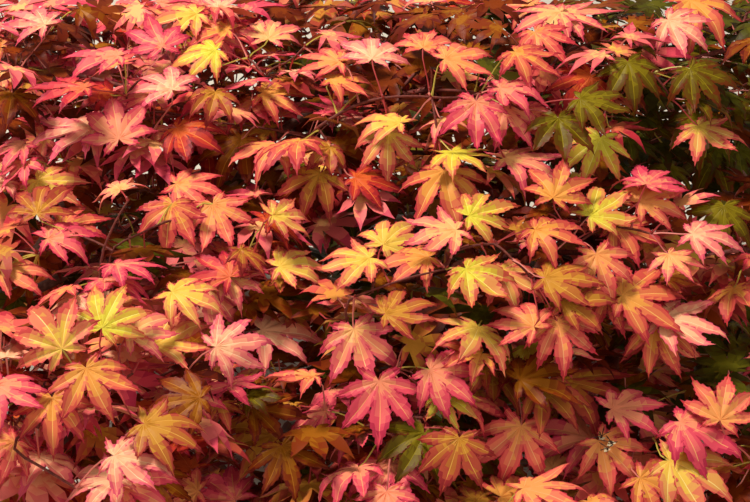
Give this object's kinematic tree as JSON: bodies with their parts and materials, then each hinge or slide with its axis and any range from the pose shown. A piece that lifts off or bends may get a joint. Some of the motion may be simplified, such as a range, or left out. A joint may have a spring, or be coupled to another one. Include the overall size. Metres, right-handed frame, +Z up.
{
  "type": "cut japanese maple branch",
  "caption": "Branch cut from a Japanese maple in autumn colours: a tapering stem, side boughs and layered sprays of palmate leaves, lying on level ground.",
  "frame": {"origin": "on the ground under the middle of the branch's bounding box", "axes": "+X along the branch from its cut end to its leafy tip, +Z up from the ground it lies on"},
  "size_m": [0.8154, 0.6452, 0.2504],
  "materials": {
    "bark": "dry and slightly rough bark",
    "coral_leaves": "soft satin leaf, coral pink to orange",
    "rose_leaves": "soft satin leaf, rose to crimson",
    "amber_leaves": "soft satin leaf, yellow to orange",
    "red_leaves": "soft satin leaf, dull red to brick",
    "green_leaves": "soft satin leaf, olive green"
  },
  "bodies": {
    "root": {"main_stem": "bark", "bough_crown_front": "bark", "bough_crown_left": "bark", "bough_crown_right": "bark", "bough_crown_back": "bark", "bough_back_left": "bark", "bough_left_middle": "bark", "bough_left_far": "bark", "bough_middle": "bark", "bough_front_middle": "bark", "bough_low_right": "bark", "bough_front_left": "bark", "bough_back_right": "bark", "bough_far_right_low": "bark", "bough_low_back": "bark", "bough_low_back_left": "bark", "bough_low_left": "bark", "bough_low_front_left": "bark", "bough_low_front_right": "bark", "spray_crown_front": "coral_leaves", "spray_crown_left": "rose_leaves", "spray_crown_right": "coral_leaves", "spray_crown_back": "amber_leaves", "spray_back_left": "rose_leaves", "spray_left_middle": "coral_leaves", "spray_left_far": "red_leaves", "spray_middle": "amber_leaves", "spray_front_middle": "coral_leaves", "spray_right_shoulder": "coral_leaves", "spray_low_right": "rose_leaves", "spray_front_left": "rose_leaves", "spray_back_right": "green_leaves", "spray_far_right_low": "green_leaves", "spray_low_back": "green_leaves", "spray_low_back_left": "red_leaves", "spray_low_left": "red_leaves", "spray_low_front_left": "red_leaves", "spray_low_front_right": "rose_leaves"}
  },
  "joints": []
}
